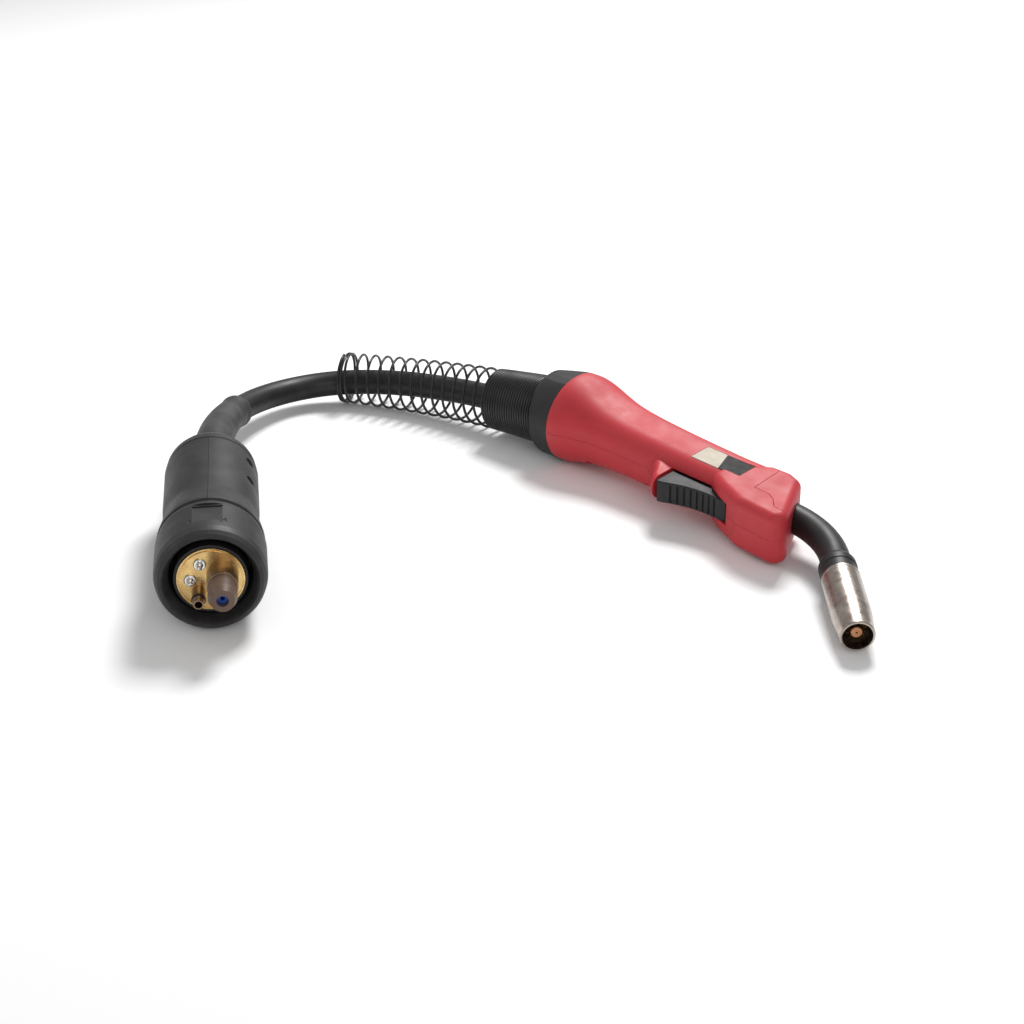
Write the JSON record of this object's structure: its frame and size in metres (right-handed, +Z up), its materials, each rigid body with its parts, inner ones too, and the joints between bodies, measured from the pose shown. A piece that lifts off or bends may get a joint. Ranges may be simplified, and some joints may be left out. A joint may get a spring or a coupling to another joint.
{
  "type": "mig welding torch",
  "caption": "MIG welding torch with trigger handle, curved neck, gas nozzle and a short spring-supported cable ending in a round central connector.",
  "frame": {"origin": "on the floor under the middle of the torch (handle, neck and nozzle), leaving out the cable and what is on it", "axes": "+X along the handle towards the nozzle, -Y the side the trigger and the bent neck face, +Z up from the surface the torch lies on"},
  "size_m": [0.4317, 0.3165, 0.055],
  "materials": {
    "shell_red": "moulded red plastic, satin",
    "black_plastic": "moulded black plastic",
    "white_plastic": "white insulating plastic",
    "spring_black": "black coated spring wire",
    "cable_jacket": "black rubber cable jacket",
    "boot_rubber": "grey-black rubber boot",
    "neck_coat": "black satin coating on metal",
    "neck_nut": "plain brass",
    "copper": "copper",
    "brass": "turned brass",
    "nozzle_metal": "nickel plated, satin",
    "steel": "zinc plated steel",
    "nut_plastic": "pinkish tan plastic",
    "liner_blue": "blue plastic liner",
    "seal_rubber": "black rubber seal",
    "hose": "black hose",
    "lead_jacket": "insulated wire",
    "label": "plain two-tone plate"
  },
  "bodies": {
    "torch_and_cable": {"handle_shell_left": "shell_red", "handle_shell_right": "shell_red", "front_cap": "shell_red", "shell_screws": "steel", "label_plate": "label", "handle_collar": "black_plastic", "spring_seat": "black_plastic", "support_spring": "spring_black", "neck_core": "copper", "neck_sleeve": "neck_coat", "neck_nut": "neck_nut", "nozzle_collar": "neck_coat", "nozzle_insulator": "white_plastic", "nozzle_spring": "steel", "tip_holder": "brass", "contact_tip": "copper", "trigger_pin": "steel", "microswitch": "black_plastic", "switch_terminals": "brass", "switch_leads": "lead_jacket", "power_cable": "cable_jacket", "cable_fitting": "brass", "crimp_ferrule": "steel", "plug_insulator": "black_plastic", "plug_body": "brass", "power_pin": "brass", "liner_nut": "nut_plastic", "wire_liner": "liner_blue", "gas_nipple": "brass", "nipple_o_ring": "seal_rubber", "pin_bushes": "white_plastic", "pin_barrels": "brass", "nut_retainer": "steel", "housing_left": "black_plastic", "housing_right": "black_plastic", "housing_screws": "steel", "housing_cap": "black_plastic", "cable_crimp": "brass", "gas_hose": "hose", "control_leads": "lead_jacket", "cable_boot": "boot_rubber"},
    "trigger": {"trigger": "black_plastic"},
    "switch_plunger": {"switch_plunger": "white_plastic"},
    "connector_nut": {"connector_nut": "black_plastic"},
    "contact_pin_upper": {"contact_pin_upper": "steel"},
    "contact_pin_lower": {"contact_pin_lower": "steel"},
    "gas_nozzle": {"gas_nozzle": "nozzle_metal"}
  },
  "joints": [
    {"name": "trigger_hinge", "type": "hinge", "parent": "torch_and_cable", "child": "trigger", "pos_m": [0.01783, 0.00854, 0.0195], "axis": [-0.0435, 0.0698, -0.9966], "range_deg": [0, 3.4], "stiffness_Nm_per_rad": 2},
    {"name": "plunger_slide", "type": "slide", "parent": "torch_and_cable", "child": "switch_plunger", "axis": [0.003, 0.9976, 0.0697], "range_m": [0, 0.00214]},
    {"name": "nut_turn", "type": "hinge", "parent": "torch_and_cable", "child": "connector_nut", "pos_m": [-0.10832, -0.23559, 0.0275], "axis": [0.7955, -0.606, 0], "continuous": true},
    {"name": "contact_pin_upper_slide", "type": "slide", "parent": "torch_and_cable", "child": "contact_pin_upper", "axis": [-0.7955, 0.606, 0], "range_m": [0, 0.003], "stiffness_N_per_m": 800},
    {"name": "contact_pin_lower_slide", "type": "slide", "parent": "torch_and_cable", "child": "contact_pin_lower", "axis": [-0.7955, 0.606, 0], "range_m": [0, 0.003], "stiffness_N_per_m": 800},
    {"name": "nozzle_pull", "type": "slide", "parent": "torch_and_cable", "child": "gas_nozzle", "axis": [0.7165, -0.693, -0.0798], "range_m": [0, 0.016]}
  ],
  "couplings": [
    {"joint": "plunger_slide", "follows": "trigger_hinge", "m_per_rad": 0.036}
  ]
}
